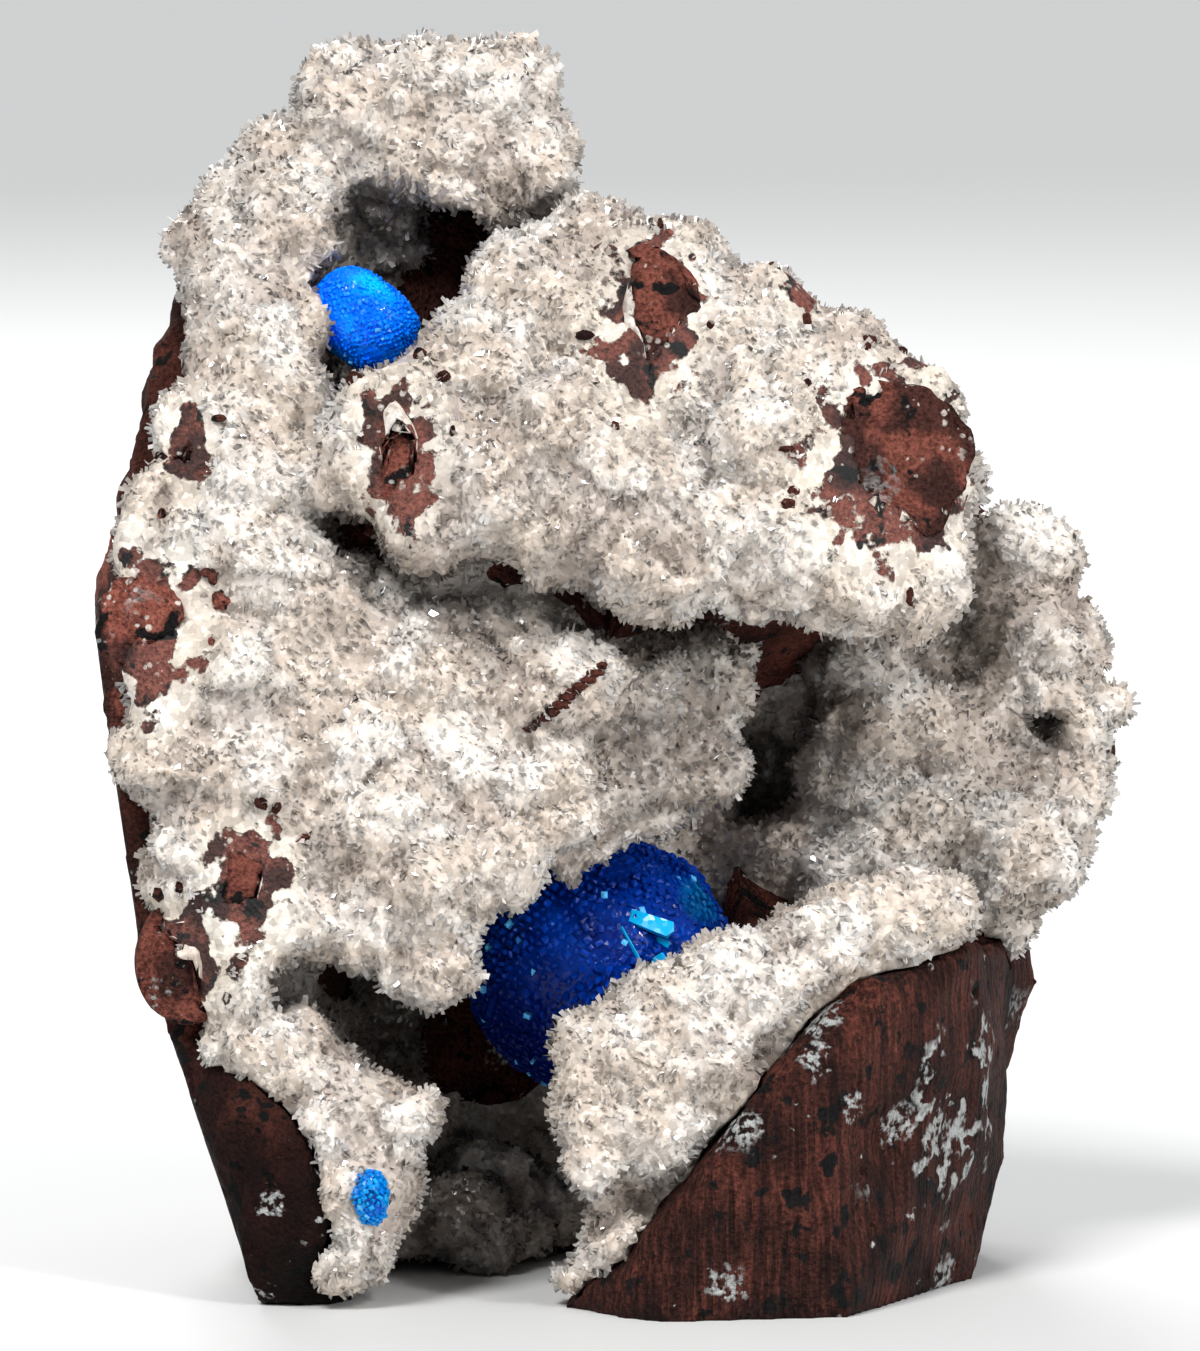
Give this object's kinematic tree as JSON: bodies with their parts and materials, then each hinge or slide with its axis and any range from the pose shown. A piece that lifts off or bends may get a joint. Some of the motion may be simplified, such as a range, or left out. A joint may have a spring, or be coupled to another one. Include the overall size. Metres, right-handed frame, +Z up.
{
  "type": "cavansite mineral specimen",
  "caption": "Hand specimen of blue cavansite clusters on a drusy stilbite crust over red-brown basalt, with open hollows and a sawn base.",
  "frame": {"origin": "centre of the bounding box in plan, on the sawn base", "axes": "+Z up, -Y out of the front that shows the hollows and the blue crystals, +X to the right as seen from the front"},
  "size_m": [0.0516, 0.036, 0.0621],
  "materials": {
    "basalt": "rough fractured basalt, with sawn faces at the base, left side and lower front",
    "stilbite": "drusy crust of small glassy colourless to pale beige blades",
    "cavansite_deep": "glassy deep blue crystals",
    "cavansite_bright": "glassy bright azure crystals",
    "cavansite_pale": "glassy cyan-blue crystals"
  },
  "bodies": {
    "root": {"basalt_matrix": "basalt", "stilbite_crust": "stilbite", "cavansite_ball_main": "cavansite_deep", "cavansite_cluster_upper": "cavansite_bright", "cavansite_tuft_lower": "cavansite_pale"}
  },
  "joints": []
}
